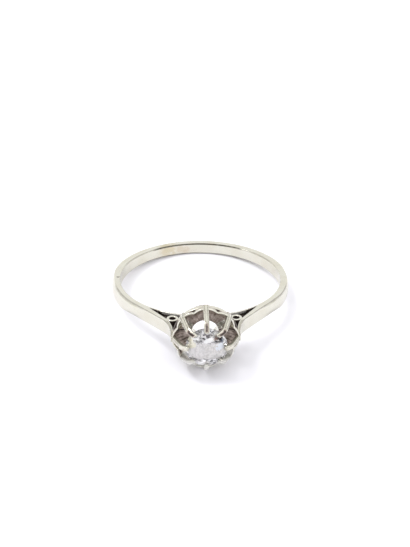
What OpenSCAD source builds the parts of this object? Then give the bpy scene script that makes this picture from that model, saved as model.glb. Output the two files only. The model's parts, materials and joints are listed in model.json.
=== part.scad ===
// Solitaire ring that lies on its side: a slim shank, two shoulders that rise beside the head,
// a lobed cup with eight claws, and a round brilliant.
// The ring is drawn round the finger axis, which is Z, with its head along +Y, and is then
// laid down on the foot of its head and the back of its shank, with the head towards -Y.

/* [Shank] */
// Inner diameter of the ring, which is the finger's
finger_d = 17.5; // [16:0.1:19]
// Thickness of the shank at the top of its domed outer face
shank_t = 0.9; // [0.8:0.05:1.1]
// Thickness of the shank at its edges
shank_edge_t = 0.6; // [0.5:0.05:0.7]
// Width of the shank at its back
back_w = 1.2; // [1:0.05:1.4]
// Width of the shank at its sides
side_w = 1.44; // [1.3:0.02:1.6]

/* [Shoulders] */
// Width of the shoulders where they are widest
shoulder_w = 1.48; // [1.4:0.02:1.6]
// Width of the shoulders at their tips, beside the claws
shoulder_tip_w = 0.72; // [0.6:0.02:0.9]
// Angle from the head at which a shoulder's flat outer face leaves the shank
shoulder_angle = 51; // [49:0.5:53]
// Radius of the sweep of a shoulder's outer face up to the head
sweep_r = 3.95; // [3.7:0.05:4.2]
// Radius of the sweep of a shoulder's inner face
inner_sweep_r = 4.15; // [4:0.05:4.3]
// Thickness of a shoulder beside the head
shoulder_t = 0.25; // [0.2:0.05:0.35]

/* [Gallery] */
// Angle from the head at which the slot between shoulder and rail starts
slot_angle = 40; // [38:0.5:42]
// Thickness of the rails
rail_t = 0.2; // [0.15:0.05:0.3]
// Width of the rails
rail_w = 1.4; // [1.2:0.05:1.44]
// Outer diameter of the tubes
tube_d = 1.24; // [1.16:0.02:1.28]
// Bore of the tubes
tube_bore_d = 0.68; // [0.5:0.02:0.72]
// Distance of a tube's axis from the middle of the head
tube_x = 3.3; // [3.26:0.02:3.34]

/* [Cup] */
// Outer diameter of the cup's ridge
cup_d = 6.7; // [6.6:0.05:6.8]
// Outer diameter of the rim across the tops of its lobes
rim_d = 6.9; // [6.8:0.05:7]
// Diameter of the rim across the creases between its lobes
crease_d = 6.38; // [6.3:0.02:6.46]
// Thickness of the rim
rim_wall = 0.12; // [0.1:0.02:0.2]
// Outer diameter of the collar at the cup's foot
collar_d = 3.8; // [3.6:0.1:4]
// Diameter of the hole through the collar
collar_bore_d = 2.84; // [2.6:0.02:2.9]

/* [Claws and stone] */
// Number of claws
claws = 8; // [8]
// Width of a claw
claw_w = 0.55; // [0.45:0.05:0.6]
// Thickness of a claw
claw_t = 0.44; // [0.4:0.02:0.5]
// Diameter of the stone
stone_d = 4.3; // [4.2:0.02:4.36]
// Width of the stone's table, as a share of its diameter
table_share = 0.57; // [0.54:0.01:0.62]
// Height of the stone above its girdle, as a share of its diameter
crown_share = 0.14; // [0.12:0.01:0.15]
// Depth of the stone below its girdle, as a share of its diameter
pavilion_share = 0.43; // [0.41:0.01:0.44]
// Gap between the stone and the claws
stone_gap = 0.03; // [0.02:0.01:0.05]

/* [Hidden] */
$fn = 96;

finger_r = finger_d / 2;
shank_r = finger_r + shank_t;
edge_r = finger_r + shank_edge_t;
half_shoulder_w = shoulder_w / 2;

// How far joined pieces run into each other, and how far a cut runs past what it opens.
lap = 0.05;
clear = 1;

// The outer face of the shank is an arc through its crown and its two edges.
dome_rise = shank_t - shank_edge_t;
dome_r = (half_shoulder_w ^ 2 + dome_rise ^ 2) / (2 * dome_rise);
dome_mid = shank_r - dome_r;
back_edge_r = dome_mid + sqrt(dome_r ^ 2 - (back_w / 2) ^ 2);

// Heights along the head's axis, measured from the finger axis.
collar_low = finger_r - 0.5;
collar_top = finger_r + 0.7;
ridge_low = finger_r + 2.85;
ridge_top = finger_r + 3.35;
rim_h = finger_r + 3.75;
tip_h = finger_r + 5.83;
girdle_h = finger_r + 5.45;

cup_r = cup_d / 2;
rim_r = rim_d / 2;
crease_r = crease_d / 2;
collar_r = collar_d / 2;
collar_bore_r = collar_bore_d / 2;

// The rim has one round lobe at each claw, and a crease midway between two claws.
claw_step = 360 / claws;
crease_side = crease_r * sin(claw_step / 2);
crease_reach = crease_r * cos(claw_step / 2);
lobe_rise = rim_r - crease_reach;
lobe_r = (crease_side ^ 2 + lobe_rise ^ 2) / (2 * lobe_rise);
lobe_mid = rim_r - lobe_r;

// Inside, a flared bore runs up from the collar, and each lobe is dished by a ball whose
// middle stands above the rim.
floor_h = finger_r + 2.45;
mouth_r = 2.7;
dish_depth = 1.25;
dish_mouth = lobe_r - rim_wall;
dish_r = (dish_mouth ^ 2 + dish_depth ^ 2) / (2 * dish_depth);

// A claw runs up the cup as a rib, leans in to the girdle and bends over it. Points are
// radius, height.
rib_r = 0.24;
rib_x = rim_r + lap - rib_r;
rib_foot = [rib_x, finger_r + 3.0];
rib_top = [rib_x, finger_r + 3.6];
claw_bend = [2.38, girdle_h];
claw_tip = [1.98, tip_h];

stone_r = stone_d / 2;
girdle_t = 0.08;
table_r = stone_r * table_share;
crown_h = stone_d * crown_share;
pavilion_h = stone_d * pavilion_share;
table_h = girdle_h + girdle_t / 2 + crown_h;

// The shoulder's outer face is straight from the shank to its sweep, and so is its inner face
// from the slot's end. Both sweeps end beside the cup, upright.
shoulder_top = finger_r + 3.7;
shoulder_edge_r = edge_r + lap;
shoulder_dir = [sin(shoulder_angle), cos(shoulder_angle)];
outer_side_x = cup_r - lap + shoulder_t;
sweep_x = outer_side_x + sweep_r;
sweep_y = (shoulder_edge_r + sweep_r - sweep_x * shoulder_dir[0]) / shoulder_dir[1];
sweep_mid = [sweep_x, sweep_y];
shoulder_start = shoulder_edge_r * shoulder_dir;
sweep_start = sweep_mid - sweep_r * shoulder_dir;

inner_mid = [cup_r - lap + inner_sweep_r, ridge_low];
slot_end = (finger_r + rail_t - lap) * [sin(slot_angle), cos(slot_angle)];
to_mid = inner_mid - slot_end;
slot_turn = atan2(to_mid[1], to_mid[0]) + asin(inner_sweep_r / norm(to_mid));
slot_run = sqrt(norm(to_mid) ^ 2 - inner_sweep_r ^ 2);
inner_start = slot_end + slot_run * [cos(slot_turn), sin(slot_turn)];

// A tube rests against the shoulder's inner face.
tube_r = tube_d / 2;
tube_reach = inner_sweep_r + tube_r - lap;
tube_y = inner_mid[1] - sqrt(tube_reach ^ 2 - (inner_mid[0] - tube_x) ^ 2);

// The ring lies on the rounded foot of its lowest claw and the lower back edge of its shank.
foot_run = rib_foot[1] + back_edge_r;
foot_drop = rib_foot[0] - back_w / 2;
rest_tilt = atan(foot_drop / foot_run) + asin(rib_r / norm([foot_run, foot_drop]));
rest_z = back_edge_r * sin(rest_tilt) + back_w / 2 * cos(rest_tilt);
reach_back = dome_mid * cos(rest_tilt) + dome_r;
reach_table = table_h * cos(rest_tilt) + table_r * sin(rest_tilt);
reach_claw = claw_tip[1] * cos(rest_tilt) + claw_tip[0] * sin(rest_tilt) + claw_t / 2;
reach_front = max(reach_table, reach_claw);
rest_y = (reach_front - reach_back) / 2;
far = 40;

white_gold = [0.84, 0.83, 0.77];
clear_stone = [0.9, 0.93, 0.97];

// Lays the ring down, with the middle of its outline over the origin.
module laid_down() {
    translate([0, rest_y, rest_z])
        rotate([0, 0, 180])
            rotate([rest_tilt, 0, 0])
                children();
}

// Turns a shape drawn up Z so that it stands along the head's axis.
module on_head() {
    rotate([-90, 0, 0])
        children();
}

// The ring's width seen from the side, cut into anything that is drawn too wide.
module width_profile() {
    back = back_w / 2;
    side = side_w / 2;
    front = half_shoulder_w;
    tip = shoulder_tip_w / 2;
    wide_to = finger_r + 1.1;
    taper = (front - tip) / (shoulder_top - wide_to);
    outline = [
        [-shank_r - clear, back], [-finger_r, back], [0, side], [wide_to, front],
        [shoulder_top + clear, tip - clear * taper]
    ];
    back_again = [for (i = [len(outline) - 1:-1:0]) [outline[i][0], -outline[i][1]]];
    rotate([90, 0, 90])
        linear_extrude(height = far, center = true)
            polygon(concat(outline, back_again));
}

// A closed band with a flat inner face and a domed outer face.
module shank() {
    rotate_extrude($fn = 192)
        intersection() {
            translate([finger_r - lap, -half_shoulder_w])
                square([shank_t + 2 * lap, shoulder_w]);
            translate([dome_mid, 0])
                circle(r = dome_r);
        }
}

// The area under one shoulder's outer face, out to its sweep.
module outer_area() {
    difference() {
        polygon([
            [0, 0], shoulder_start, sweep_start, sweep_mid,
            [sweep_mid[0], shoulder_top], [0, shoulder_top]
        ]);
        translate(sweep_mid)
            circle(r = sweep_r, $fn = 192);
    }
}

// The area that a shoulder's inner face leaves free beside the head.
module inner_area() {
    difference() {
        polygon([
            [0, 0], slot_end, inner_start, inner_mid,
            [inner_mid[0], shoulder_top + clear], [0, shoulder_top + clear]
        ]);
        translate(inner_mid)
            circle(r = inner_sweep_r, $fn = 192);
    }
}

module both_sides() {
    children();
    mirror([1, 0, 0])
        children();
}

// The shank with its two shoulders, open between them where the head stands.
module band() {
    difference() {
        intersection() {
            union() {
                shank();
                both_sides()
                    linear_extrude(height = shoulder_w, center = true)
                        outer_area();
            }
            width_profile();
        }
        both_sides()
            linear_extrude(height = shoulder_w + clear, center = true)
                inner_area();
    }
}

// The finger circle carried on under the shoulders, as a thin strip.
module rails() {
    reach = finger_r + rail_t;
    start = slot_angle + 1;
    intersection() {
        cylinder(r = reach, h = rail_w, center = true, $fn = 192);
        linear_extrude(height = rail_w + clear, center = true)
            polygon([
                [0, 0],
                2 * reach * [sin(start), cos(start)],
                [0, 2 * reach],
                2 * reach * [-sin(start), cos(start)]
            ]);
    }
}

module tubes() {
    both_sides()
        translate([tube_x, tube_y, 0])
            cylinder(r = tube_r, h = side_w, center = true);
}

module tube_bores() {
    both_sides()
        translate([tube_x, tube_y, 0])
            cylinder(d = tube_bore_d, h = side_w + clear, center = true);
}

// The collar and the flared wall up to the ridge, with the lobed rim on top.
module cup() {
    on_head()
        difference() {
            union() {
                rotate_extrude()
                    polygon([
                        [0, collar_low], [collar_r, collar_low],
                        [collar_r, collar_top], [cup_r, ridge_low],
                        [cup_r, ridge_top], [0, ridge_top]
                    ]);
                translate([0, 0, ridge_top - lap])
                    linear_extrude(height = rim_h - ridge_top + lap) {
                        circle(r = lobe_mid);
                        for (i = [0:claws - 1])
                            rotate(i * claw_step)
                                translate([lobe_mid, 0])
                                    circle(r = lobe_r);
                    }
            }
            translate([0, 0, floor_h])
                cylinder(r1 = collar_bore_r, r2 = mouth_r, h = rim_h - floor_h + lap);
            for (i = [0:claws - 1])
                rotate([0, 0, i * claw_step])
                    translate([lobe_mid, 0, rim_h + dish_r - dish_depth])
                        sphere(r = dish_r);
        }
}

// A flat strip with round ends, from a to b in the plane of its axis.
module strip(a, b, t) {
    run = b - a;
    translate(a)
        circle(d = t);
    translate(b)
        circle(d = t);
    translate(a)
        rotate(atan2(run[1], run[0]))
            translate([0, -t / 2])
                square([norm(run), t]);
}

module claw() {
    rotate([90, 0, 0])
        linear_extrude(height = claw_w, center = true) {
            strip(rib_foot, rib_top, 2 * rib_r);
            strip(rib_top, claw_bend, claw_t);
            strip(claw_bend, claw_tip, claw_t);
        }
}

// The stone's round outline with the gap added, cut out of the claws as their seat.
module seat() {
    low = girdle_h - girdle_t / 2;
    high = girdle_h + girdle_t / 2;
    fit_r = stone_r + stone_gap;
    on_head()
        rotate_extrude()
            polygon([
                [0, low - pavilion_h - 2 * stone_gap], [fit_r, low - stone_gap],
                [fit_r, high + stone_gap], [table_r + stone_gap, table_h + stone_gap],
                [table_r + stone_gap, table_h + clear], [0, table_h + clear]
            ]);
}

module claw_set() {
    difference() {
        on_head()
            for (i = [0:claws - 1])
                rotate([0, 0, i * claw_step])
                    claw();
        seat();
    }
}

// All the soldered metal: band, rails, tubes, cup and claws, bored for the finger.
module ring_body() {
    color(white_gold)
        laid_down()
            difference() {
                union() {
                    band();
                    rails();
                    tubes();
                    cup();
                    claw_set();
                }
                cylinder(r = finger_r, h = far, center = true, $fn = 192);
                tube_bores();
                on_head()
                    cylinder(r = collar_bore_r, h = ridge_low);
            }
}

// A point of the stone at a radius, an angle and a height above the girdle's middle.
function at(r, angle, h) = [r * cos(angle), r * sin(angle), h];

// A round brilliant of 57 facets. Eight main facets run from the table to the girdle and eight
// from the girdle to the point, and the smaller ones fill the corners between them.
module brilliant() {
    n = 8;
    step = 360 / n;
    half = step / 2;
    top = girdle_t / 2;
    star_r = stone_r * 0.8;
    star_h = top + crown_h * (stone_r - star_r * cos(half)) / (stone_r - table_r);
    low_r = stone_r * 0.24;
    low_h = -top - pavilion_h * (stone_r - low_r * cos(half)) / stone_r;
    k = [0:n - 1];
    rows = concat(
        [for (i = k) at(table_r, i * step, top + crown_h)],
        [for (i = k) at(star_r, i * step + half, star_h)],
        [for (i = [0:2 * n - 1]) at(stone_r, i * half, top)],
        [for (i = [0:2 * n - 1]) at(stone_r, i * half, -top)],
        [for (i = k) at(low_r, i * step + half, low_h)],
        [[0, 0, -top - pavilion_h]]
    );
    star = n;
    upper = 2 * n;
    lower = 4 * n;
    keel = 6 * n;
    culet = 7 * n;
    facets = concat(
        [[for (i = [n - 1:-1:0]) i]],
        [for (i = k) [i, (i + 1) % n, star + i]],
        [for (i = k) [i, star + i, upper + 2 * i, star + (i + n - 1) % n]],
        [for (i = k) [star + i, upper + 2 * i + 1, upper + 2 * i]],
        [for (i = k) [star + i, upper + (2 * i + 2) % (2 * n), upper + 2 * i + 1]],
        [for (i = [0:2 * n - 1]) let(j = (i + 1) % (2 * n)) [upper + i, upper + j, lower + j, lower + i]],
        [for (i = k) [keel + i, lower + 2 * i, lower + 2 * i + 1]],
        [for (i = k) [keel + i, lower + 2 * i + 1, lower + (2 * i + 2) % (2 * n)]],
        [for (i = k) [culet, keel + (i + n - 1) % n, lower + 2 * i, keel + i]]
    );
    polyhedron(points = rows, faces = facets);
}

module diamond() {
    color(clear_stone)
        laid_down()
            on_head()
                translate([0, 0, girdle_h])
                    brilliant();
}

ring_body();
diamond();
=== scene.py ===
import json
import math

import bmesh
import bpy
from bpy.props import FloatProperty, FloatVectorProperty, PointerProperty
from bpy.types import Operator, Panel, PropertyGroup
from mathutils import Matrix, Quaternion, Vector


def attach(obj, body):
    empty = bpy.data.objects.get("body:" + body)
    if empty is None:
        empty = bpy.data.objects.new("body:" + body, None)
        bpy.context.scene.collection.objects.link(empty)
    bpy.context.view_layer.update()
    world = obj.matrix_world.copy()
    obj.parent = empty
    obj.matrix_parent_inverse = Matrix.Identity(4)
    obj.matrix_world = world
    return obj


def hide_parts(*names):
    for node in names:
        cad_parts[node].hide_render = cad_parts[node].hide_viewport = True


# Looks of a solitaire ring that lies on its side. The metal is modelled round the finger
# axis, which is Z, with the head along +Y, and each mesh is laid down when it is finished.

bl_info = {
    "name": "Solitaire ring",
    "version": (1, 0, 0),
    "blender": (4, 5, 0),
    "location": "View3D > Sidebar > Ring",
    "description": "Builds the metal, finishes and stage of a solitaire ring round its CAD model",
    "category": "Object",
}

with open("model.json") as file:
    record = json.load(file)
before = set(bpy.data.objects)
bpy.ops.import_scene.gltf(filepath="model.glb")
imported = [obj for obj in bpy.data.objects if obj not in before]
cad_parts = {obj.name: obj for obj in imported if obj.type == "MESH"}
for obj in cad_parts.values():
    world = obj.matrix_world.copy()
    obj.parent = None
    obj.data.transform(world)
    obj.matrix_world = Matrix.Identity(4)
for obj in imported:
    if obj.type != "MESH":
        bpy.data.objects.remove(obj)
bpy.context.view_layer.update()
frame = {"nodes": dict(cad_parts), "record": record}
MOUNT = frame["record"]["mounts"][0]

MM = 0.001
Z = Vector((0, 0, 1))
CLAWS = 8
CLAW_STEP = 2 * math.pi / CLAWS
# Edges that turn by more than this stay sharp.
SHARP_ANGLE = math.radians(32)
# Points that lie closer than this are one.
MERGE = 1e-7
# How deep a piece runs into the one that it is soldered to.
OVERLAP = 0.05 * MM
# Attributes painted on each piece, which its finish reads: tarnish, which also carries painted
# shade, painted dark reflections and painted glare, and edge lines of painted shade and painted
# reflections, with a dark pit.
TARNISH_AND_SHADE = "tarnish"
EDGE_SHADE_AND_PIT = "edge_shade_and_pit"


def length(name, description, millimetres):
    """A size that a user may change, given here in millimetres."""
    return FloatProperty(
        name=name, description=description, default=millimetres * MM,
        min=0.0, precision=5, unit="LENGTH", subtype="DISTANCE",
    )


def colour(name, thing, value):
    """The colour of a thing, which a user may change."""
    return FloatVectorProperty(
        name=name, description="Colour of " + thing, default=value,
        min=0.0, max=1.0, size=3, subtype="COLOR",
    )


class BandSizes(PropertyGroup):
    """Sizes of the shank and of the shoulders that rise from it."""

    finger: length("Finger radius", "Radius of the hole for the finger", 8.75)
    edge: length("Edge thickness", "Thickness of the shank at its edges", 0.6)
    dome: length("Dome", "How far the shank's outer face rises between its edges", 0.3)
    square: length("Squareness", "How far the shank's outer corners are brought out", 0.24)
    back: length("Back half width", "Half the width of the shank at its back", 0.6)
    side: length("Side half width", "Half the width of the shank at its sides", 0.72)
    front: length("Shoulder half width", "Half the width of the widest shoulder", 0.74)
    tip: length("Tip half width", "Half the width of a shoulder's tip", 0.36)
    inner_corner: length("Inner corner", "Rounding of the edges that touch the finger", 0.1)
    outer_corner: length("Outer corner", "Rounding of the outer edges", 0.07)
    sweep: length("Sweep radius", "Radius of a shoulder's outer sweep", 3.95)
    inner_sweep: length("Inner sweep radius", "Radius of a shoulder's inner sweep", 4.15)
    top: length("Shoulder height", "Height of a shoulder's tip above the finger hole", 3.7)


class GallerySizes(PropertyGroup):
    """Sizes of the rails under the shoulders and of the tubes that stand on them."""

    rail: length("Rail thickness", "Thickness of a rail", 0.2)
    rail_half: length("Rail half width", "Half the width of a rail", 0.7)
    tube: length("Tube radius", "Outer radius of a tube", 0.62)
    bore: length("Tube bore", "Radius of a tube's bore", 0.34)
    tube_half: length("Tube half height", "Half the height of a tube", 0.72)
    tube_x: length("Tube offset", "Distance of a tube from the middle of the head", 3.3)


class CupSizes(PropertyGroup):
    """Sizes of the cup, as radii and as heights above the finger hole."""

    collar: length("Collar radius", "Outer radius of the collar at the foot", 1.9)
    bore: length("Collar bore", "Radius of the hole through the collar", 1.42)
    collar_top: length("Collar height", "Where the cup flares out from its collar", 0.7)
    ridge: length("Ridge radius", "Radius of the ridge round the cup", 3.35)
    ridge_low: length("Ridge foot", "Height of the ridge's lower edge", 2.85)
    ridge_top: length("Ridge top", "Height of the ridge's upper edge", 3.35)
    rim: length("Rim radius", "Radius of the rim across its lobes", 3.45)
    crease: length("Crease radius", "Radius of the rim at its creases", 3.19)
    wall: length("Rim wall", "Thickness of the rim", 0.12)
    rim_top: length("Rim height", "Height of the rim", 3.75)
    floor: length("Floor height", "Height at which the collar's bore starts to flare", 2.45)
    mouth: length("Mouth radius", "Radius of the flared bore at the rim", 2.7)
    dish: length("Dish depth", "Depth of the hollow in each lobe", 1.25)


class ClawSizes(PropertyGroup):
    """Sizes of a claw, and of the path that it takes up the cup and over the stone."""

    half: length("Tip half width", "Half the width of a claw at its tip", 0.26)
    foot_half: length("Foot half width", "Half the width of a claw at its foot", 0.31)
    thick: length("Claw thickness", "Thickness of a claw", 0.44)
    bend_radius: length("Bend radius", "Distance of the bend from the head's axis", 2.43)
    bend_height: length("Bend height", "Height of the bend above the finger hole", 5.58)
    tip_radius: length("Tip radius", "Distance of the tip from the head's axis", 1.8)
    tip_height: length("Tip height", "Height of the tip above the finger hole", 6.055)
    corner: length("Claw corner", "Rounding of a claw's edges", 0.11)
    lean: FloatProperty(
        name="Lean", description="How far worn claws lean towards the top claw, as an angle",
        default=math.radians(11), subtype="ANGLE",
    )


class Finish(PropertyGroup):
    """Colours of the metal, its tarnish, its painted shade, reflections and glare, and its stains.
    """

    gold: colour("White gold", "the bare metal", (0.70, 0.685, 0.60))
    worn: colour("Worn gold", "the metal where it has dulled", (0.655, 0.63, 0.53))
    # Brown and darker brown are tarnish inside the cup and also painted shade there; on the claws
    # brown is a painted dark reflection.
    brown: colour("Brown tarnish", "the metal inside the cup", (0.60, 0.51, 0.455))
    umber: colour("Darker brown", "the deeper brown patches", (0.36, 0.29, 0.25))
    # Dark and rusty tarnish are also the painted shade in the slots, the creases, the bores and
    # behind the shoulders.
    dark: colour("Dark tarnish", "the old tarnish in recesses", (0.035, 0.024, 0.018))
    rust: colour("Rusty tarnish", "the reddest tarnish", (0.12, 0.08, 0.075))
    # The pale film is residue in the lower lobes, and painted glare on the lower claws and rim and
    # painted light on the rails.
    residue_and_painted_light: colour("Residue", "the pale film in the lower lobes", (0.80, 0.79, 0.76))
    # The edge line colour is painted shade and painted reflections along the edges, and the dark
    # pit.
    line: colour("Edge line", "the thin dark lines along the edges", (0.06, 0.052, 0.035))
    khaki: colour("Yellow stain", "the wider stain at the back", (0.50, 0.40, 0.20))
    amber: colour("Amber stain", "the smaller stain at the back", (0.46, 0.31, 0.15))


class StageSettings(PropertyGroup):
    """Floor, light and camera."""

    floor: colour("Floor", "the table", (0.93, 0.925, 0.975))
    sky: FloatProperty(name="Sky", description="Strength of the white surround", default=1.55)
    lamp: FloatProperty(
        name="Lamp", description="Power of the soft lamp in watts", default=0.5, unit="POWER",
    )
    distance: length("Camera distance", "Distance from the finger hole to the camera", 150)
    lens: FloatProperty(
        name="Lens", description="Focal length in millimetres", default=90.05, unit="CAMERA",
    )


# Helpers for shapes.

def blend(a, b, share):
    return a + (b - a) * share


def ramp(value, low, high):
    """0 below low, 1 above high, and smooth between them. It falls where high is the lower."""
    share = min(max((value - low) / (high - low), 0.0), 1.0)
    return share * share * (3 - 2 * share)


def rounding(radius, angles=(0, 22.5, 45, 67.5, 90)):
    """How far in a rounded edge lies, first across and then along, at angles of its turn."""
    turns = [math.radians(angle) for angle in angles]
    return [(radius * (1 - math.cos(turn)), radius * (1 - math.sin(turn))) for turn in turns]


def around(radius, angle):
    """The point of the ring's plane at an angle from the head, in degrees."""
    turn = math.radians(angle)
    return Vector((radius * math.sin(turn), radius * math.cos(turn), 0))


def outwards(place, normal):
    """How far a normal points away from the finger axis."""
    return normal.dot(Vector((place.x, place.y, 0)).normalized())


def side_angle(place):
    """The angle round the head from its nearer side, in degrees."""
    return math.degrees(math.atan2(place.z, abs(place.x)))


def laid_down():
    """The turn and shift that lay the ring on its side, as the finger hole's mount has them."""
    axis = Vector(MOUNT["axis"]).normalized()
    across = Vector((-1, 0, 0))
    turn = Matrix((across, axis.cross(across), axis)).transposed().to_4x4()
    return Matrix.Translation(MOUNT["pos_m"]) @ turn


def face_outwards(skin):
    bmesh.ops.recalc_face_normals(skin, faces=skin.faces)
    if skin.calc_volume(signed=True) < 0:
        bmesh.ops.reverse_faces(skin, faces=skin.faces)


def loft(rings, joined=False):
    """A skin drawn through rings of points, with its ends closed or joined to each other."""
    skin = bmesh.new()
    bmesh.ops.create_circle(skin, cap_ends=True, segments=len(rings[0]), radius=MM)
    skin.faces.ensure_lookup_table()
    face = skin.faces[0]
    for vert, point in zip(face.verts, rings[0]):
        vert.co = point
    for ring in rings[1:]:
        face = bmesh.ops.extrude_discrete_faces(skin, faces=[face])["faces"][0]
        for vert, point in zip(face.verts, ring):
            vert.co = point
    if joined:
        skin.faces.remove(face)
        bmesh.ops.remove_doubles(skin, verts=skin.verts, dist=MERGE)
    else:
        bmesh.ops.holes_fill(skin, edges=skin.edges, sides=0)
    face_outwards(skin)
    return skin


def section():
    """Outline of a strip with rounded corners. Each point is a share of the half width and an
    inset in corner radii, then a share of the thickness and an inset in corner radii."""
    beside = 1.6
    inner = [(1, -along, 0, across) for across, along in rounding(1)]
    outer = [(1, -across, 1, -along) for across, along in rounding(1)]
    beside_inner = [(1, -beside, 0, 0)] + inner + [(1, 0, 0, beside)]
    beside_outer = [(1, 0, 1, -beside)] + outer + [(1, -beside, 1, 0)]
    half = [(0, 0, 0, 0), (0.5, 0, 0, 0)] + beside_inner + beside_outer
    half += [(0.66, 0, 1, 0), (0.33, 0, 1, 0)]
    other = [(-share, -inset, level, sink) for share, inset, level, sink in reversed(half[1:])]
    return half + [(0, 0, 1, 0)] + other


SECTION = section()
# The most that a rounded corner takes of a strip's thickness and of its half width.
CORNER_OF_DEPTH = 0.45
CORNER_OF_HALF = 0.9


def strip_ring(base, out, across, halves, depth, corners, dome=0.0, shrink=0.0):
    """One ring of a strip's skin. Base is the middle of its inner face and out points through
    it; halves and corners are for the inner face and the outer one."""
    depth = depth - 2 * shrink
    points = []
    for share, inset, level, sink in SECTION:
        corner = min(corners[level], CORNER_OF_DEPTH * depth)
        through = level * depth + sink * corner
        half = blend(halves[0], halves[1], through / depth) - shrink
        side = share * half + inset * min(corner, CORNER_OF_HALF * half)
        rise = level * dome * (1 - (side / half) ** 2)
        points.append(base + out * (through + shrink + rise) + across * side)
    return points


def rounded_path(corners, cuts, steps=8):
    """Points along a path whose inner corners are rounded, each with its direction."""
    path = [(corners[0], (corners[1] - corners[0]).normalized())]
    for before, corner, after, cut in zip(corners, corners[1:], corners[2:], cuts):
        start = corner + (before - corner).normalized() * cut
        end = corner + (after - corner).normalized() * cut
        for i in range(steps + 1):
            t = i / steps
            point = (1 - t) ** 2 * start + 2 * t * (1 - t) * corner + t * t * end
            heading = (1 - t) * (corner - start) + t * (end - corner)
            path.append((point, heading.normalized()))
    path.append((corners[-1], (corners[-1] - corners[-2]).normalized()))
    return path


# Helpers for finishes.

def new_material(name):
    """A material with its node tree and its shader."""
    made = bpy.data.materials.new(name)
    made.use_nodes = True
    return made, made.node_tree, made.node_tree.nodes["Principled BSDF"]


def fill(tree, node, inputs):
    """Links the inputs that are other nodes' outputs, and sets the others."""
    for key, value in inputs.items():
        if isinstance(value, bpy.types.NodeSocket):
            tree.links.new(value, node.inputs[key])
        else:
            node.inputs[key].default_value = value


def add_node(tree, kind, inputs, **settings):
    made = tree.nodes.new(kind)
    for name, value in settings.items():
        setattr(made, name, value)
    fill(tree, made, inputs)
    return made


def calculate(tree, operation, *values):
    inputs = dict(enumerate(values))
    return add_node(tree, "ShaderNodeMath", inputs, operation=operation).outputs[0]


def times(tree, first, second):
    return calculate(tree, "MULTIPLY", first, second)


def remap(tree, value, low, high, to_low=0.0, to_high=1.0):
    """A value carried smoothly from one range to another."""
    inputs = {
        "Value": value, "From Min": low, "From Max": high, "To Min": to_low, "To Max": to_high,
    }
    return add_node(tree, "ShaderNodeMapRange", inputs, interpolation_type="SMOOTHSTEP").outputs[0]


# Sockets of a Mix node that hold its share, its two colours and its result.
MIX_SHARE = 0
MIX_COLOURS = (6, 7)
MIX_RESULT = 2


def mix(tree, share, first, second):
    """The first colour turned by a share into the second. Each is an output or a plain colour."""
    inputs = {MIX_SHARE: share}
    for key, value in zip(MIX_COLOURS, (first, second)):
        inputs[key] = value if isinstance(value, bpy.types.NodeSocket) else (*value, 1)
    return add_node(tree, "ShaderNodeMix", inputs, data_type="RGBA").outputs[MIX_RESULT]


def millimetres(tree):
    """Object coordinates in millimetres, so that grain sizes read as real sizes."""
    place = add_node(tree, "ShaderNodeTexCoord", {}).outputs["Object"]
    inputs = {"Vector": place, "Scale": (1 / MM,) * 3}
    return add_node(tree, "ShaderNodeMapping", inputs).outputs[0]


def grain(tree, place, scale, detail=2.0):
    """Noise of so many waves to the millimetre."""
    inputs = {"Vector": place, "Scale": scale, "Detail": detail}
    return add_node(tree, "ShaderNodeTexNoise", inputs).outputs["Fac"]


def painted(tree, attribute):
    """What is painted on a piece under an attribute's name."""
    return add_node(tree, "ShaderNodeAttribute", {}, attribute_name=attribute).outputs["Fac"]


def measure(tree, operation, first, second):
    """A number worked out from two vectors, such as their distance."""
    inputs = {0: first, 1: second}
    return add_node(tree, "ShaderNodeVectorMath", inputs, operation=operation).outputs["Value"]


def closeness(tree, place, points, reach):
    """1 at each of the points, given in the ring's own millimetres, and 0 past their reach."""
    nearest = None
    for point in points:
        spot = (laid_down() @ (Vector(point) * MM)) / MM
        near = remap(tree, measure(tree, "DISTANCE", place, spot), reach, 0.0)
        nearest = calculate(tree, "MAXIMUM", nearest, near) if nearest else near
    return nearest


# Stains inside the back of the shank: spots in the ring's own millimetres, how far the stain
# reaches from them, where it has its full strength, and that strength.
YELLOW_STAIN = ([(3.454, -8.039, 0.2), (3.0, -8.2, 0.1)], 1.5, 0.8, 0.5)
RED_STAIN = ([(1.9, -8.5, 0.1), (1.3, -8.65, -0.1)], 0.8, 0.7, 0.35)
# How high the metal's bumps stand where their relief is 1.
BUMP_HEIGHT = 0.004 * MM


def stain(tree, place, patches, settings):
    """How strongly a stain shows, broken up by patches of noise."""
    spots, reach, full, strength = settings
    patchy = remap(tree, patches, 0.2, 0.6)
    near = times(tree, closeness(tree, place, spots, reach), patchy)
    return times(tree, remap(tree, near, 0.0, full), strength)


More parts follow.
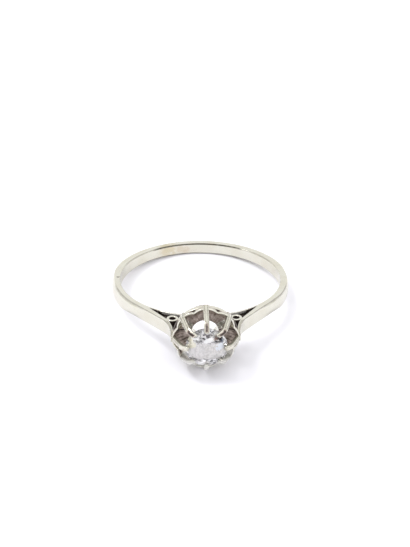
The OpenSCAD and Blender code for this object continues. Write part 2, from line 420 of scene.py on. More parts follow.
def white_gold(name, stained):
    """Worn white gold. The attribute painted on each piece says where tarnish and painted shade
    lie:
    brown from 0.15 and black from 0.62 upwards, and a pale film of residue, painted glare and
    painted light from -0.1 downwards."""
    made = bpy.data.materials.get(name)
    if made:
        return made
    look = bpy.context.scene.ring_finish
    made, tree, shader = new_material(name)
    place = millimetres(tree)
    tarnish = painted(tree, TARNISH_AND_SHADE)
    blotches = grain(tree, place, 2.2, 4.0)
    clouds = grain(tree, place, 0.45)
    fine = grain(tree, place, 9.0, 3.0)

    edge = calculate(tree, "SUBTRACT", blotches, 0.5)
    edge = calculate(tree, "MULTIPLY_ADD", edge, 0.5, tarnish)
    # Brown is tarnish, and also painted shade inside the cup and a painted dark reflection on the
    # claws; black is tarnish and painted shade in recesses.
    brown = remap(tree, edge, 0.15, 0.4)
    black = remap(tree, edge, 0.62, 0.88)
    bare = mix(tree, remap(tree, clouds, 0.35, 0.75), look.gold, look.worn)
    mottled = calculate(tree, "MULTIPLY_ADD", grain(tree, place, 5.0, 3.0), 0.8, blotches)
    warm = mix(tree, remap(tree, mottled, 0.72, 1.05), look.brown, look.umber)
    # Dark tarnish, which is also painted shade in the slots, creases and bores.
    dark_tarnish_and_shade = mix(tree, remap(tree, fine, 0.45, 0.8), look.dark, look.rust)
    # A pale film: residue, painted glare and painted light.
    pale = remap(tree, tarnish, -0.1, -0.4)
    shown = mix(tree, black, mix(tree, brown, bare, warm), dark_tarnish_and_shade)
    shown = mix(tree, pale, shown, look.residue_and_painted_light)
    dull = calculate(tree, "MAXIMUM", brown, pale)
    if stained:
        shown = mix(tree, stain(tree, place, blotches, YELLOW_STAIN), shown, look.khaki)
        shown = mix(tree, stain(tree, place, fine, RED_STAIN), shown, look.amber)

    # Edge lines of painted shade and painted reflection, and the dark pit.
    line = painted(tree, EDGE_SHADE_AND_PIT)
    line = times(tree, line, remap(tree, blotches, 0.3, 0.55, 0.75, 1.0))
    shown = mix(tree, line, shown, look.line)
    painted_over = calculate(tree, "MAXIMUM", calculate(tree, "MAXIMUM", black, pale), line)

    worn = remap(tree, grain(tree, place, 3.0, 4.0), 0.3, 0.8, 0.13, 0.26)
    scuffs = times(tree, grain(tree, place, 12.0, 3.0), 0.4)
    relief = calculate(tree, "MULTIPLY_ADD", grain(tree, place, 1.1, 1.0), 3.0, scuffs)
    crust = times(tree, brown, fine)
    relief = calculate(tree, "MULTIPLY_ADD", crust, 4.0, relief)
    inputs = {"Height": relief, "Distance": BUMP_HEIGHT, "Strength": 1.0}
    fill(tree, shader, {
        "Base Color": shown,
        "Metallic": remap(tree, painted_over, 0.0, 1.0, 1.0, 0.3),
        "Roughness": calculate(tree, "MULTIPLY_ADD", dull, 0.18, worn),
        "Normal": add_node(tree, "ShaderNodeBump", inputs).outputs["Normal"],
    })
    return made


def new_object(name, data):
    """An object of the scene, at the origin."""
    made = bpy.data.objects.new(name, data)
    bpy.context.scene.collection.objects.link(made)
    return made


def finish_metal(skin, name, shade, line=None, material="worn_metal", stained=False):
    """Turns a skin into a piece of the soldered metal, painted and laid down in its place.
    Shade gives how much tarnish, painted shade, painted reflection and painted glare lie at a
    point of the ring, and line how much edge line of painted shade and reflection, in its own
    millimetres, with a normal."""
    mesh = bpy.data.meshes.new(name)
    skin.to_mesh(mesh)
    skin.free()
    mesh.shade_smooth()
    mesh.set_sharp_from_angle(angle=SHARP_ANGLE)
    for attribute, value_at in ((TARNISH_AND_SHADE, shade), (EDGE_SHADE_AND_PIT, line)):
        paint = mesh.attributes.new(attribute, "FLOAT", "POINT")
        if value_at:
            for vert, value in zip(mesh.vertices, paint.data):
                value.value = value_at(vert.co / MM, vert.normal)
    mesh.transform(laid_down())
    mesh.materials.append(white_gold(material, stained))
    piece = new_object(name, mesh)
    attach(piece, "root")
    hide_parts("ring_body")


# Shape of the band.

# Angles from the head where a shoulder's flat face and its slot begin, in degrees.
SHOULDER_ANGLE = 51
SLOT_ANGLE = 40
# The angle at which the shank starts to turn into a shoulder.
BLEND_ANGLE = 70
# How far a shoulder's flat face lies outside the shank's edge, and how much of the dome it
# starts with.
FACE_RISE = 0.05 * MM
FACE_DOME = 0.8
# Height above the finger hole at which a shoulder is widest.
WIDEST = 1.1 * MM
# Rounding of a shoulder's tip, and how far its outer face lies outside the cup's ridge.
TIP_ROUND = 0.1 * MM
TIP_OFF = 0.2 * MM
# Angles over which the shank's outer corners become squarer: the upper ones, the upper ones
# on one side alone, by a share, and the lower ones, which are round again at the back. Then
# the distances from the finger hole over which a point comes to count as outer.
UPPER_SQUARE = (88, 108)
ONE_SIDE_SQUARE = (53, 65)
ONE_SIDE_SHARE = 0.6
LOWER_SQUARE = (51, 65)
LOWER_ROUND = (172, 150)
OUTER_PART = (0.2 * MM, 0.5 * MM)


class Shoulder:
    """The lines of one shoulder in the ring's plane: flat outer face, sweep, slot and tip."""

    def __init__(self, band, gallery, cup):
        self.finger = band.finger
        self.out = around(1, SHOULDER_ANGLE)
        self.along = Vector((-self.out.y, self.out.x, 0))
        face = band.finger + band.edge + FACE_RISE
        self.start = self.out * face
        mid_x = cup.ridge + TIP_OFF + band.sweep
        mid_y = (face + band.sweep - mid_x * self.out.x) / self.out.y
        self.mid = Vector((mid_x, mid_y, 0))
        self.sweep = band.sweep
        self.run = (self.mid - self.start).dot(self.along)
        self.top = band.finger + band.top
        inner_x = cup.ridge - OVERLAP + band.inner_sweep
        self.inner_mid = Vector((inner_x, band.finger + cup.ridge_low, 0))
        self.inner_sweep = band.inner_sweep
        self.slot = around(band.finger + gallery.rail - OVERLAP, SLOT_ANGLE)
        to_mid = self.inner_mid - self.slot
        turn = math.atan2(to_mid.y, to_mid.x) + math.asin(self.inner_sweep / to_mid.length)
        self.slot_along = Vector((math.cos(turn), math.sin(turn), 0))
        self.slot_run = math.sqrt(to_mid.length_squared - self.inner_sweep ** 2)

    def is_open(self, point):
        """Whether a point is in the finger hole or in the slot."""
        if point.length < self.finger:
            return True
        if math.degrees(math.atan2(point.x, point.y)) > SLOT_ANGLE:
            return False
        reach = (point - self.slot).dot(self.slot_along)
        if reach < self.slot_run:
            return self.slot_along.cross(point - self.slot).z > 0
        return (point - self.inner_mid).length > self.inner_sweep

    def depth(self, outer, out, step=0.05 * MM, halvings=16):
        """How far in from a point of the outer face the metal goes before it is open. It is
        found in steps, and then by halving the last one."""
        reach = step
        while not self.is_open(outer - out * reach):
            reach += step
        low = reach - step
        for _ in range(halvings):
            middle = (low + reach) / 2
            if self.is_open(outer - out * middle):
                reach = middle
            else:
                low = middle
        return reach


def band_stations(shoulder, band):
    """Points of the band's outer face from its back to a shoulder's tip, each with the way out,
    the depth of metal under it, the dome's share and how far the end has closed."""
    stations = []
    shank_angles = list(range(180, BLEND_ANGLE, -2))
    for angle in shank_angles + list(range(BLEND_ANGLE, SHOULDER_ANGLE, -1)):
        near_shoulder = ramp(angle, BLEND_ANGLE, SHOULDER_ANGLE)
        edge = band.edge + FACE_RISE * near_shoulder
        dome = blend(1, FACE_DOME, near_shoulder)
        outer = around(band.finger + edge, angle)
        stations.append((outer, around(1, angle), edge, dome, 0.0))
    flat_steps = 14
    for i in range(flat_steps):
        outer = shoulder.start + shoulder.along * (shoulder.run * i / flat_steps)
        dome = FACE_DOME * ramp(i / flat_steps, 0.5, 0.0)
        stations.append((outer, shoulder.out, shoulder.depth(outer, shoulder.out), dome, 0.0))
    first = math.atan2(shoulder.out.y, shoulder.out.x)
    last = -math.asin((shoulder.top - shoulder.mid.y - TIP_ROUND) / shoulder.sweep)
    sweep_steps = 30
    for i in range(sweep_steps + 1):
        turn = blend(first, last, i / sweep_steps)
        out = Vector((math.cos(turn), math.sin(turn), 0))
        outer = shoulder.mid - out * shoulder.sweep
        stations.append((outer, out, shoulder.depth(outer, out), 0.0, 0.0))
    outer, out, depth, _, _ = stations[-1]
    ahead = Vector((-out.y, out.x, 0))
    for shrink, short in rounding(TIP_ROUND, (25, 50, 75)):
        stations.append((outer + ahead * (TIP_ROUND - short), out, depth, 0.0, shrink))
    return stations


def band_half_width(band, y):
    """Half the band's width at a height along the head's axis."""
    wide_to = band.finger + WIDEST
    if y < 0:
        return blend(band.side, band.back, ramp(y, 0, -band.finger))
    if y < wide_to:
        return blend(band.side, band.front, y / wide_to)
    return blend(band.front, band.tip, (y - wide_to) / (band.finger + band.top - wide_to))


def square_up(skin, band):
    """Brings the shank's outer corners out, as the photo has them: the lower ones along the
    sides, and the upper ones round the back and on one side."""
    for vert in skin.verts:
        place = vert.co
        away = Vector((place.x, place.y, 0))
        angle = math.degrees(math.atan2(abs(place.x), place.y))
        if place.z > 0:
            one_side = ramp(-place.x, 0, 2 * MM) * ramp(angle, *ONE_SIDE_SQUARE)
            share = max(ramp(angle, *UPPER_SQUARE), ONE_SIDE_SHARE * one_side)
        else:
            share = ramp(angle, *LOWER_SQUARE) * ramp(angle, *LOWER_ROUND)
        outer = ramp(away.length - band.finger, *OUTER_PART)
        level = min(abs(place.z) / band_half_width(band, place.y), 1.0)
        vert.co += away.normalized() * (band.square * share * outer * level ** 2)


# A pit in the upper edge of the shank, in the ring's own millimetres.
PIT = Vector((8.99, -0.3, 0.72))
PIT_REACH = 0.19
PIT_DEPTH = 0.07


def dent(skin, spot, reach, depth):
    """Makes the flat upper edge finer round a spot, and presses a small pit into it."""
    level = 0.9
    finer_to = 2.5 * reach
    near = [
        face for face in skin.faces
        if face.normal.z > level and (face.calc_center_median() - spot).length < finer_to
    ]
    edges = list({edge for face in near for edge in face.edges})
    bmesh.ops.subdivide_edges(skin, edges=edges, cuts=7, use_grid_fill=True)
    bottom = 0.2 * reach
    for vert in skin.verts:
        vert.co.z -= depth * ramp((vert.co - spot).length, reach, bottom)


# Where the band's paint begins and where it is full, in the ring's own millimetres: off the
# finger hole, in the slot, at the back, near its middle, in front, and below the upper edge.
OFF_FINGER = (8.82, 8.9)
IN_SLOT = (6.0, 6.6)
AT_BACK = (-2.0, -5.0)
NEAR_MIDDLE = (5.2, 4.6)
IN_FRONT = (1.0, 3.0)
BELOW_EDGE = (0.13, 0.1)
# How dark each line is: beside the back's middle, below it, in front, on the lower outer
# edge, and in the pit. All but the pit are painted reflections and painted shade.
FAINT_LINE = 0.3
LOWER_LINE = 0.7
FRONT_LINE = 0.45
UNDER_LINE = 0.4
PIT_LINE = 0.8


def make_band():
    scene = bpy.context.scene
    band = scene.ring_band
    shoulder = Shoulder(band, scene.ring_gallery, scene.ring_cup)
    rings = []
    for outer, out, depth, dome, shrink in band_stations(shoulder, band):
        base = outer - out * depth
        halves = (band_half_width(band, base.y), band_half_width(band, outer.y))
        corners = (band.inner_corner, band.outer_corner)
        rings.append(strip_ring(base, out, Z, halves, depth, corners, dome * band.dome, shrink))
    skin = loft(rings)
    open_end = [face for face in skin.faces if all(abs(v.co.x) < MERGE for v in face.verts)]
    bmesh.ops.delete(skin, geom=open_end, context="FACES_ONLY")
    everything = skin.verts[:] + skin.edges[:] + skin.faces[:]
    bmesh.ops.mirror(skin, geom=everything, axis="X", merge_dist=MERGE)
    face_outwards(skin)
    square_up(skin, band)
    dent(skin, PIT * MM, PIT_REACH * MM, PIT_DEPTH * MM)

    def shade(place, normal):
        """Painted shade with tarnish on the shoulders' inner faces, in the slots."""
        outward = outwards(place, normal)
        beside = 1 - ramp(abs(normal.z), 0.4, 0.8)
        in_slot = ramp(place.length, *OFF_FINGER) * ramp(place.y, *IN_SLOT)
        return ramp(-outward, 0.2, 0.6) * beside * in_slot

    def line(place, normal):
        """Thin lines: painted dark reflections along the inner upper edge at the back and the
        outer upper edge in front, a painted contact shadow along the inner lower edge at the back,
        painted shade along the lower outer edge, and the dark pit."""
        outward = outwards(place, normal)
        at_back = ramp(place.y, *AT_BACK)
        back = blend(FAINT_LINE, 1.0, ramp(abs(place.x), *NEAR_MIDDLE)) * at_back
        upper = back * ramp(min(-outward, normal.z), 0.02, 0.08)
        lower = LOWER_LINE * at_back * ramp(min(-outward, -normal.z), 0.2, 0.36)
        below_edge = band_half_width(band, place.y * MM) / MM - place.z
        front = FRONT_LINE * ramp(below_edge, *BELOW_EDGE) * ramp(place.y, *IN_FRONT)
        front *= ramp(min(outward, normal.z), 0.05, 0.15)
        under = UNDER_LINE * ramp(min(outward, -normal.z), 0.1, 0.5)
        pit = PIT_LINE * ramp((place - PIT).length, 1.2 * PIT_REACH, 0.5 * PIT_REACH)
        return max(upper, lower, front, under, pit)

    finish_metal(skin, "band", shade, line, "worn_metal_stained", stained=True)


# Angles from the head at which a rail is drawn, in degrees: the first, the step and how many.
RAIL_FROM = 43
RAIL_STEP = 1.6
RAIL_STATIONS = 21
RAIL_CORNER = 0.04 * MM
# The paint of a rail's outer face, which is painted shade with tarnish, and of the paler part near
# its upper edge, which is painted light.
RAIL_DARK = 0.95
RAIL_PALE = -0.27
TUBE_STEPS = 60
TUBE_CORNER = 0.06 * MM


def make_gallery():
    scene = bpy.context.scene
    sizes = scene.ring_gallery
    band = scene.ring_band
    shoulder = Shoulder(band, sizes, scene.ring_cup)

    def shade_rail(place, normal):
        """Painted shade with tarnish on the outer face, a pale film near its upper edge that is
        painted light, bare on the thin edges.
        """
        outward = normal.x * place.x + normal.y * place.y
        upper = ramp(place.z, 0.0, 0.4) * ramp(abs(place.x), 5.0, 4.4)
        return ramp(outward / place.length, 0.3, 0.6) * blend(RAIL_DARK, RAIL_PALE, upper)

    def shade_tube(place, normal):
        """Dark on the walls, as painted shade with tarnish in the bore and between the parts, bare
        on the end rings.
        """
        return 1 - ramp(abs(normal.z), 0.3, 0.7)

    reach = shoulder.inner_sweep + sizes.tube - OVERLAP
    over = shoulder.inner_mid.x - sizes.tube_x
    tube_y = shoulder.inner_mid.y - math.sqrt(reach ** 2 - over ** 2)
    for side, name in ((1, "right"), (-1, "left")):
        rings = []
        for i in range(RAIL_STATIONS):
            out = around(1, side * (RAIL_FROM - RAIL_STEP * i))
            halves = (sizes.rail_half, sizes.rail_half)
            corners = (RAIL_CORNER, RAIL_CORNER)
            rings.append(strip_ring(out * band.finger, out, Z, halves, sizes.rail, corners))
        finish_metal(loft(rings), "rail_" + name, shade_rail)

        profile = tube_profile(sizes)
        centre = Vector((side * sizes.tube_x, tube_y, 0))
        rings = []
        for i in range(TUBE_STEPS + 1):
            turn = 2 * math.pi * i / TUBE_STEPS
            away = Vector((math.cos(turn), math.sin(turn), 0))
            rings.append([centre + away * radius + Z * height for radius, height in profile])
        finish_metal(loft(rings, joined=True), "tube_" + name, shade_tube)


def tube_profile(sizes):
    """Radius and height round a tube's wall, whose edges are rounded."""
    half = sizes.tube_half
    top = [(sizes.tube - across, half - along) for across, along in rounding(TUBE_CORNER)]
    top += [(sizes.bore + along, half - across) for across, along in rounding(TUBE_CORNER)]
    return top + [(radius, -height) for radius, height in reversed(top)]


# Shape of the cup. Its heights run along the head's axis from the finger's.

def on_head(radius, angle, height):
    return Vector((radius * math.cos(angle), height, radius * math.sin(angle)))


def from_claw(angle):
    """The angle from the nearest claw, which is the middle of a lobe."""
    return (angle + CLAW_STEP / 2) % CLAW_STEP - CLAW_STEP / 2


def circle_reach(middle, radius, off):
    """How far out a circle reaches in a direction off from the one to its middle."""
    return middle * math.cos(off) + math.sqrt(radius ** 2 - (middle * math.sin(off)) ** 2)


class CupShape:
    """The lobed wall and the dished inside of the cup."""

    def __init__(self, cup, finger):
        self.cup = cup
        self.finger = finger
        side = cup.crease * math.sin(CLAW_STEP / 2)
        rise = cup.rim - cup.crease * math.cos(CLAW_STEP / 2)
        self.lobe = (side ** 2 + rise ** 2) / (2 * rise)
        self.lobe_mid = cup.rim - self.lobe
        opening = self.lobe - cup.wall
        self.ball = (opening ** 2 + cup.dish ** 2) / (2 * cup.dish)
        self.ball_height = cup.rim_top + self.ball - cup.dish

    def wall(self, angle, inset=0.0):
        """Radius of the rim's outer face."""
        return circle_reach(self.lobe_mid, self.lobe - inset, from_claw(angle))

    def mouth(self, angle):
        """Radius of the rim's inner edge."""
        return self.wall(angle, self.cup.wall)

    def floor(self, radius, angle):
        """Height of the inside: a flared bore, deepened by a ball in each lobe."""
        cup = self.cup
        flare = blend(cup.floor, cup.rim_top, (radius - cup.bore) / (cup.mouth - cup.bore))
        across = radius * math.sin(from_claw(angle))
        along = radius * math.cos(from_claw(angle)) - self.lobe_mid
        hollow = self.ball_height - math.sqrt(self.ball ** 2 - across ** 2 - along ** 2)
        return self.finger + min(flare, hollow)

    def foot(self, radius, angle):
        """Height at which the wall of the collar meets the finger hole."""
        return math.sqrt(self.finger ** 2 - (radius * math.cos(angle)) ** 2)


def cup_profile(shape):
    """The cup's section as functions of the angle, each giving a radius and a height."""
    cup, finger = shape.cup, shape.finger
    soft = 0.08 * MM
    rim = 0.03 * MM
    swell = 0.01 * MM
    undercut = 0.02 * MM
    flare_steps = 8
    inside_steps = 16
    crowding = 0.8
    lines = [lambda a: (cup.collar, shape.foot(cup.collar, a))]

    def at(radius, height):
        lines.append(lambda a: (radius, finger + height))

    at(cup.collar, cup.collar_top - soft)
    for i in range(flare_steps + 1):
        share = i / flare_steps
        at(blend(cup.collar, cup.ridge, share), blend(cup.collar_top, cup.ridge_low, share))
    at(cup.ridge + swell, cup.ridge_low + soft)
    for inset, drop in rounding(soft):
        at(cup.ridge - inset, cup.ridge_top - drop)
    lines.append(lambda a: (shape.wall(a, undercut), finger + cup.ridge_top))
    lines.append(lambda a: (shape.wall(a), finger + cup.ridge_top + soft))
    for inset, drop in rounding(rim):
        lines.append(lambda a, s=inset, d=drop: (shape.wall(a, s), finger + cup.rim_top - d))
    lines.append(lambda a: (shape.mouth(a) + rim, finger + cup.rim_top))
    for i in range(inside_steps + 1):
        share = (i / inside_steps) ** crowding
        lines.append(lambda a, s=share: inside_at(shape, a, s))
    for share in (0.5, 1.0):
        lines.append(lambda a, s=share: (
            cup.bore, blend(finger + cup.floor, shape.foot(cup.bore, a), s)))
    return lines


def inside_at(shape, angle, share):
    """A point of the cup's inside, from its mouth at 0 to the collar's bore at 1."""
    radius = blend(shape.mouth(angle), shape.cup.bore, share)
    return radius, shape.floor(radius, angle)


CUP_STEPS = 192
# Angles from the head's side, in degrees: the crease between two lobes, and inside the cup
# a patch that is painted lighter as if lit, a fold of painted shade, and the pitch of the fine
# streaks of painted shade.
CREASE_ANGLE = 22.5
LIT_ANGLE = 29
FOLD_ANGLE = 13
STREAK_PITCH = 7.5
# The paint of the pale film, which is painted glare, of the deepest dark, which is painted shade
# and tarnish, and of the inside where it is brown with tarnish and painted shade, and where it is
# painted lit.
PAINTED_GLARE = -0.3
DEEP = 0.9
INSIDE = 0.46
LIT = -0.24
# In the ring's own millimetres: where the rim's top starts along the head's axis, where the
# flared wall ends, and a dark spot inside and how far it reaches.
RIM_FROM = 12.46
FLARE_TO = 11.58
DARK_SPOT = Vector((2.55, 12.3, -1.7))
DARK_SPOT_REACH = 0.5


def paint_inside(place):
    """Brown tarnish and painted shade, darker with painted shade in folds, streaks and under the
    rim, lighter in a patch painted lit, with a dark spot, and a pale film of residue and painted
    glare in the lower lobes.
    """
    angle = side_angle(place)
    lit = ramp(abs(angle - LIT_ANGLE), 12, 8)
    fold = ramp(abs(angle - FOLD_ANGLE), 3.0, 1.5)
    streak = (0.5 + 0.5 * math.cos(2 * math.pi * angle / STREAK_PITCH)) ** 2
    level = blend(INSIDE, LIT, lit) + max(0.5 * fold, 0.4 * streak)
    # Painted shade under the rim, and a little lighter in the upper lobes.
    level = level + 0.2 * ramp(place.y, 12.2, RIM_FROM) - 0.12 * ramp(place.z, 1.2, 2.0)
    # A pale film in the lower lobes, of residue and painted glare.
    film_from = blend(-1.4, -2.0, ramp(place.x, -0.6, 0.6))
    level = blend(-0.5, level, ramp(place.z, film_from, film_from + 0.4))
    level = blend(0.1, level, ramp(place.y, 10.9, 11.4))
    return blend(level, DEEP, ramp((place - DARK_SPOT).length, DARK_SPOT_REACH, DARK_SPOT_REACH / 2))


def paint_flare(place, normal, radius):
    """Painted shade behind the shoulders and a little under the ridge, and a little tarnish at the
    foot.
    """
    if normal.y < -0.9 and radius < 2.0:
        return 0.0
    ridge_shade_and_foot_tarnish = 0.3 * ramp(place.y, 11.2, 11.5) + 0.25 * ramp(place.y, 9.9, 9.4)
    return max(0.1 + ridge_shade_and_foot_tarnish, 0.95 * ramp(abs(side_angle(place)), 52, 34))


def paint_rim(place):
    """Painted shade in the creases beside the shoulders' tips, and a painted dark reflection on
    the upper ledge behind the ridge.
    """
    beside = abs(abs(side_angle(place)) - CREASE_ANGLE)
    ledge = ramp(place.y, 12.07, 12.1) * ramp(place.y, 12.22, 12.12) * ramp(place.z, 0.5, 2.0)
    return DEEP * max(ledge, ramp(beside, 13.0, 9.0))


def shade_cup(place, normal):
    """Bare on the rim's top, with painted glare low down, and painted in three zones: inside,
    below the ridge and above it.
    """
    radius = math.hypot(place.x, place.z)
    if radius > 2.6 and place.y > RIM_FROM:
        return PAINTED_GLARE * ramp(place.z, -0.8, -1.6)
    outward = (normal.x * place.x + normal.z * place.z) / max(radius, 0.1)
    if outward < -0.05 or (radius < 3.0 and normal.y > 0.2):
        return paint_inside(place)
    if place.y < FLARE_TO:
        return paint_flare(place, normal, radius)
    return paint_rim(place)


def make_cup():
    scene = bpy.context.scene
    shape = CupShape(scene.ring_cup, scene.ring_band.finger)
    angles = [2 * math.pi * i / CUP_STEPS for i in range(CUP_STEPS)]
    lines = cup_profile(shape)
    rings = [[on_head(line(a)[0], a, line(a)[1]) for a in angles] for line in lines + lines[:1]]
    finish_metal(loft(rings, joined=True), "cup", shade_cup)


# How far a claw's outer face stands out from the rim, and heights above the finger hole
# where it starts on the cup and where it leaves it.
CLAW_PROUD = 0.05 * MM
CLAW_FOOT = 2.98 * MM
CLAW_LEAVES = 3.62 * MM
# How much of the path each of its rounded corners takes, and the rounding of its end.
CLAW_CUTS = (0.24 * MM, 0.55 * MM)
CLAW_END = 0.17 * MM
# A claw's share of its thickness at the tip.
CLAW_THINNED = 0.9
# Distances from the head's axis, in millimetres, between which a claw's lean sets in.
LEANS = (2.6, 1.8)


def claw_stations(claw, rim, finger):
    """A claw's path, as distances from the head's axis and heights, and how many points it has
    before its rounded end."""
    foot = rim + CLAW_PROUD - claw.thick / 2
    corners = [
        Vector((foot, finger + CLAW_FOOT)),
        Vector((foot, finger + CLAW_LEAVES)),
        Vector((claw.bend_radius, finger + claw.bend_height)),
        Vector((claw.tip_radius, finger + claw.tip_height)),
    ]
    path = rounded_path(corners, CLAW_CUTS)
    stations = [(point, heading, 0.0) for point, heading in path]
    return rounded_end(stations, CLAW_END), len(path) - 1


def make_claws():
    scene = bpy.context.scene
    claw = scene.ring_claws
    stations, total = claw_stations(claw, scene.ring_cup.rim, scene.ring_band.finger)

    def leaned(turn, radius):
        """Angle of a claw at a radius: past their bends, the upper claws lean upwards."""
        bent = ramp(radius, *LEANS)
        return turn + claw.lean * math.cos(turn) * ramp(math.sin(turn), -0.3, 0.5) * bent

    for number in range(CLAWS):
        turn = CLAW_STEP * number

        def shade(place, normal):
            """Brown at the foot, and a painted dark reflection on the flat outer face, most of all
            where it bends. The lower claws are filmed over with painted glare."""
            radius = math.hypot(place.x, place.z)
            angle = leaned(turn, radius)
            aside = abs(place.z * math.cos(angle) - place.x * math.sin(angle))
            flat = ramp(normal.y, 0.1, 0.3) * ramp(aside, 0.21, 0.13)
            bend = ramp(radius, 2.72, 2.6) * ramp(radius, 1.98, 2.1) * ramp(place.z, 0.8, 1.4)
            brown = max(0.3 * ramp(place.y, 12.3, 11.8), flat * (0.2 + 0.65 * bend))
            return blend(brown, PAINTED_GLARE, ramp(place.z, -0.6, -1.4))

        def line(place, normal):
            """A soft line of painted shade along both of its sides."""
            angle = leaned(turn, math.hypot(place.x, place.z))
            sideways = abs(normal.z * math.cos(angle) - normal.x * math.sin(angle))
            return 0.4 * ramp(sideways, 0.5, 0.95)

        rings = []
        for i, (point, heading, shrink) in enumerate(stations):
            share = min(i / total, 1.0)
            half = blend(claw.foot_half, claw.half, share)
            thick = claw.thick * blend(1.0, CLAW_THINNED, share)
            normal = Vector((heading.y, -heading.x))
            inner = point - normal * (thick / 2)
            angle = leaned(turn, point.x / MM)
            across = Vector((-math.sin(angle), 0, math.cos(angle)))
            rings.append(strip_ring(
                on_head(inner.x, angle, inner.y), on_head(normal.x, angle, normal.y), across,
                (half, half), thick, (claw.corner, claw.corner), shrink=shrink,
            ))
        finish_metal(loft(rings), "claw_%d" % (number + 1), shade, line)


def rounded_end(stations, radius):
    """Closes the last station with a quarter turn, within the path's own length."""
    last, heading, _ = stations[-1]
    turned = rounding(radius, (0, 17, 34, 51, 68, 85))
    return stations[:-1] + [(last - heading * short, heading, shrink) for shrink, short in turned]


# Painted flashes of fire and painted dark reflections in the stone: where in the ring's own
# millimetres, how far they reach, how strong, and which colour.
FIRE = (
    ((1.55, 14.5, 0.6), 0.7, 0.8, (0.84, 0.79, 0.58)),
    ((1.8, 14.4, 1.1), 0.5, 0.7, (0.80, 0.74, 0.52)),
    ((-1.35, 14.6, 0.35), 0.75, 0.9, (0.84, 0.90, 1.0)),
    ((-0.94, 14.65, 1.2), 0.42, 1.0, (0.28, 0.19, 0.16)),
    ((-1.55, 14.5, 0.9), 0.36, 1.0, (0.10, 0.12, 0.17)),
    ((0.0, 14.45, -1.9), 0.7, 0.85, (0.9, 0.88, 0.86)),
)
# A row of spots across the table where the grey film lies, and how far it reaches.
FILMED = [(0.6 * i, 14.8, -0.15) for i in range(-2, 3)]
FILMED_REACH = 1.4
# Spots where small facets show painted glints and painted dark reflections, and how far they
# reach.
SHIMMER = (
    (1.3, 14.6, 1.1), (0.0, 14.8, 1.3), (-1.3, 14.6, 1.1),
    (0.8, 14.4, -1.8), (-0.8, 14.4, -1.8),
)
SHIMMER_REACH = 1.2
# Refractive index of diamond, and the colours of the clear stone and of its film, each
# between two, and of its small facets' painted dark reflections and painted glints.
DIAMOND_IOR = 2.42
CLEAR = ((0.98, 0.985, 1.0), (0.95, 0.945, 0.93))
# The greys of the smooth film over the stone's lower part.
FILM_GREYS = ((0.52, 0.50, 0.485), (0.80, 0.775, 0.765))
PAINTED_DARK_REFLECTION = (0.07, 0.065, 0.07)
PAINTED_GLINT = (1.0, 1.0, 1.0)
# How the small facets are stretched, and how many there are to the millimetre.
FACET_STRETCH = (1.0, 0.6, 1.6)
FACET_SCALE = 2.9


def make_stone():
    """The stone is the CAD node, with a clear finish, painted glints, painted dark reflections and
    painted fire.
    """
    made, tree, shader = new_material("clear_stone")
    place = millimetres(tree)
    haze = remap(tree, grain(tree, place, 0.6), 0.3, 0.7)
    tint = mix(tree, haze, *CLEAR)

    inputs = {"Vector": place, "Scale": FACET_STRETCH}
    slivers = add_node(tree, "ShaderNodeMapping", inputs).outputs[0]
    inputs = {"Vector": slivers, "Scale": FACET_SCALE}
    cells = add_node(tree, "ShaderNodeTexVoronoi", inputs).outputs["Color"]
    chance = add_node(tree, "ShaderNodeSeparateColor", {"Color": cells}).outputs["Red"]
    glint = times(tree, closeness(tree, place, SHIMMER, SHIMMER_REACH), 1.6)
    glint = calculate(tree, "MINIMUM", glint, 1.0)
    # Painted dark reflections and painted glints in small cells.
    dark = times(tree, remap(tree, chance, 0.27, 0.24), glint)
    bright = times(tree, remap(tree, chance, 0.42, 0.46), glint)
    tint = mix(tree, dark, tint, PAINTED_DARK_REFLECTION)
    tint = mix(tree, bright, tint, PAINTED_GLINT)
    solid = times(tree, bright, 0.8)

    rough_edge = calculate(tree, "MULTIPLY_ADD", grain(tree, place, 1.6), 0.5, -0.25)
    film = calculate(tree, "ADD", closeness(tree, place, FILMED, FILMED_REACH), rough_edge)
    film = remap(tree, film, 0.18, 0.42)
    specks = remap(tree, grain(tree, place, 5.0, 5.0), 0.35, 0.65)
    tint = mix(tree, film, tint, mix(tree, specks, *FILM_GREYS))
    solid = calculate(tree, "MAXIMUM", solid, film)

    facets = calculate(tree, "MULTIPLY_ADD", chance, 0.7, -0.35)
    # Painted fire and painted dark reflections.
    for spot, reach, strength, flash in FIRE:
        ragged = calculate(tree, "ADD", closeness(tree, place, [spot], reach), facets)
        near = remap(tree, ragged, 0.25, 0.4, 0.0, strength)
        tint = mix(tree, near, tint, flash)
        solid = calculate(tree, "MAXIMUM", solid, near)

    fill(tree, shader, {
        "Base Color": tint,
        "Roughness": remap(tree, film, 0.0, 1.0, 0.0, 0.3),
        "Transmission Weight": remap(tree, solid, 0.0, 1.0, 1.0, 0.4),
        "IOR": DIAMOND_IOR,
    })
    stone = frame["nodes"]["diamond"]
    stone.data.materials.clear()
    stone.data.materials.append(made)


# Half the width of the table, in metres.
TABLE_HALF = 1.5
TABLE_ROUGHNESS = 0.6


def make_floor(stage):
    sheet = bmesh.new()
    bmesh.ops.create_grid(sheet, x_segments=2, y_segments=2, size=TABLE_HALF)
    mesh = bpy.data.meshes.new("table_top")
    sheet.to_mesh(mesh)
    sheet.free()
    made, tree, shader = new_material("table_top")
    fill(tree, shader, {"Base Color": (*stage.floor, 1), "Roughness": TABLE_ROUGHNESS})
    mesh.materials.append(made)
    new_object("table_top", mesh)


# The surround: the ways to the front and to the patch there, the patch's colour, the colours
# of the walls behind and in front, and the colour of the dark gear.
FRONT = Vector((0, -1, 0))
PATCH = Vector((-0.05, -0.80, 0.58)).normalized()
PATCH_GREY = (0.25, 0.23, 0.25)
WALLS = ((0.7, 0.7, 0.7), (1.15, 1.15, 1.15))
GEAR_GREY = (0.03, 0.03, 0.04)


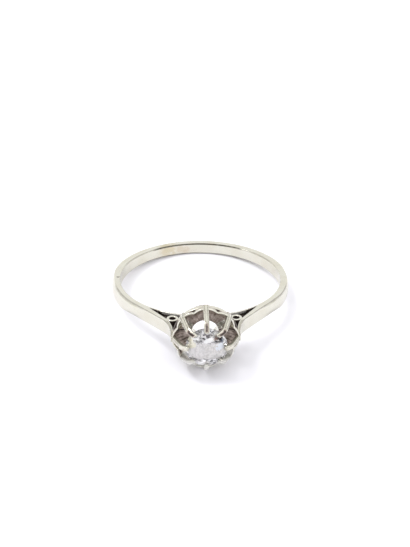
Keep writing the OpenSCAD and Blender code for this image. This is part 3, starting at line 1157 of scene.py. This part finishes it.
def make_surround(stage):
    """A white surround with a grey patch and dark gear in front, for the gold to reflect."""
    world = bpy.data.worlds.new("surround")
    bpy.context.scene.world = world
    world.use_nodes = True
    tree = world.node_tree
    way = add_node(tree, "ShaderNodeTexCoord", {}).outputs["Generated"]
    front = measure(tree, "DOT_PRODUCT", way, FRONT)
    patch = measure(tree, "DOT_PRODUCT", way, PATCH)
    shown = mix(tree, remap(tree, front, -0.3, 0.6), *WALLS)
    shown = mix(tree, remap(tree, patch, 0.92, 0.975), shown, PATCH_GREY)
    gear = remap(tree, grain(tree, way, 4.0, 0.0), 0.41, 0.40)
    gear = times(tree, gear, remap(tree, front, 0.3, 0.4))
    shown = mix(tree, gear, shown, GEAR_GREY)
    fill(tree, tree.nodes["Background"], {"Color": shown, "Strength": stage.sky})


# The lamp's place from the finger hole, and its width, in metres.
LAMP_FROM_HOLE = Vector((-0.19, 0.05, 0.35))
LAMP_WIDTH = 0.13


def point_at(thing, place, aim):
    """Puts a lamp or a camera at a place and turns it to its aim."""
    thing.location = place
    thing.rotation_mode = "QUATERNION"
    thing.rotation_quaternion = (aim - place).to_track_quat("-Z", "Y")


def make_lamp(stage):
    """One soft square lamp, high at the left and a little behind the ring."""
    light = bpy.data.lights.new("window", "AREA")
    light.shape = "RECTANGLE"
    light.size = LAMP_WIDTH
    light.size_y = LAMP_WIDTH
    light.energy = stage.lamp
    hole = Vector(MOUNT["pos_m"])
    point_at(new_object("window", light), hole + LAMP_FROM_HOLE, hole)


# The camera, fitted to the outline of the finger hole: its angle above the ring's own plane
# and its angle from the head, its roll, and the point that it looks at in the ring's own
# millimetres.
CAMERA_RISE = math.radians(26.96)
CAMERA_SIDE = 2.757
CAMERA_ROLL = math.radians(1)
CAMERA_AIM = Vector((-0.537, -0.434, 0.913))
SENSOR_WIDTH = 36
CLIP_START = 0.001


def make_camera(stage):
    """Looks down across the finger hole, over the head and a little from one side."""
    away = around(math.cos(CAMERA_RISE), CAMERA_SIDE) + Z * math.sin(CAMERA_RISE)
    lens = bpy.data.cameras.new("camera")
    lens.sensor_width = SENSOR_WIDTH
    lens.lens = stage.lens
    lens.clip_start = CLIP_START
    camera = new_object("camera", lens)
    point_at(camera, laid_down() @ (away * stage.distance), laid_down() @ (CAMERA_AIM * MM))
    camera.rotation_quaternion = camera.rotation_quaternion @ Quaternion(Z, CAMERA_ROLL)
    bpy.context.scene.camera = camera


class RING_OT_band(Operator):
    """Builds the shank and its two shoulders"""

    bl_idname = "ring.band"
    bl_label = "Band"

    def execute(self, context):
        make_band()
        return {"FINISHED"}


class RING_OT_gallery(Operator):
    """Builds the rails under the shoulders and the tubes on them"""

    bl_idname = "ring.gallery"
    bl_label = "Rails and tubes"

    def execute(self, context):
        make_gallery()
        return {"FINISHED"}


class RING_OT_cup(Operator):
    """Builds the lobed cup of the head"""

    bl_idname = "ring.cup"
    bl_label = "Cup"

    def execute(self, context):
        make_cup()
        return {"FINISHED"}


class RING_OT_claws(Operator):
    """Builds the eight claws"""

    bl_idname = "ring.claws"
    bl_label = "Claws"

    def execute(self, context):
        make_claws()
        return {"FINISHED"}


class RING_OT_stone(Operator):
    """Gives the stone its finish"""

    bl_idname = "ring.stone"
    bl_label = "Stone"

    def execute(self, context):
        make_stone()
        return {"FINISHED"}


class RING_OT_stage(Operator):
    """Sets up the table, the light and the camera"""

    bl_idname = "ring.stage"
    bl_label = "Stage"

    def execute(self, context):
        stage = context.scene.ring_stage
        for make in (make_floor, make_surround, make_lamp, make_camera):
            make(stage)
        context.scene.view_settings.view_transform = "Standard"
        return {"FINISHED"}


STEPS = (RING_OT_band, RING_OT_gallery, RING_OT_cup, RING_OT_claws, RING_OT_stone, RING_OT_stage)


class RING_PT_panel(Panel):
    """Lists the steps that build the ring"""

    bl_label = "Ring"
    bl_space_type = "VIEW_3D"
    bl_region_type = "UI"
    bl_category = "Ring"

    def draw(self, context):
        for step in STEPS:
            self.layout.operator(step.bl_idname, text=step.bl_label)


SETTINGS = {
    "ring_band": BandSizes,
    "ring_gallery": GallerySizes,
    "ring_cup": CupSizes,
    "ring_claws": ClawSizes,
    "ring_finish": Finish,
    "ring_stage": StageSettings,
}
CLASSES = (*SETTINGS.values(), *STEPS, RING_PT_panel)


def register():
    for made in CLASSES:
        bpy.utils.register_class(made)
    for name, group in SETTINGS.items():
        setattr(bpy.types.Scene, name, PointerProperty(type=group))


def unregister():
    for name in SETTINGS:
        delattr(bpy.types.Scene, name)
    for made in reversed(CLASSES):
        bpy.utils.unregister_class(made)


def main():
    register()
    bpy.ops.ring.band()
    bpy.ops.ring.gallery()
    bpy.ops.ring.cup()
    bpy.ops.ring.claws()
    bpy.ops.ring.stone()
    bpy.ops.ring.stage()


if __name__ == "__main__":
    main()
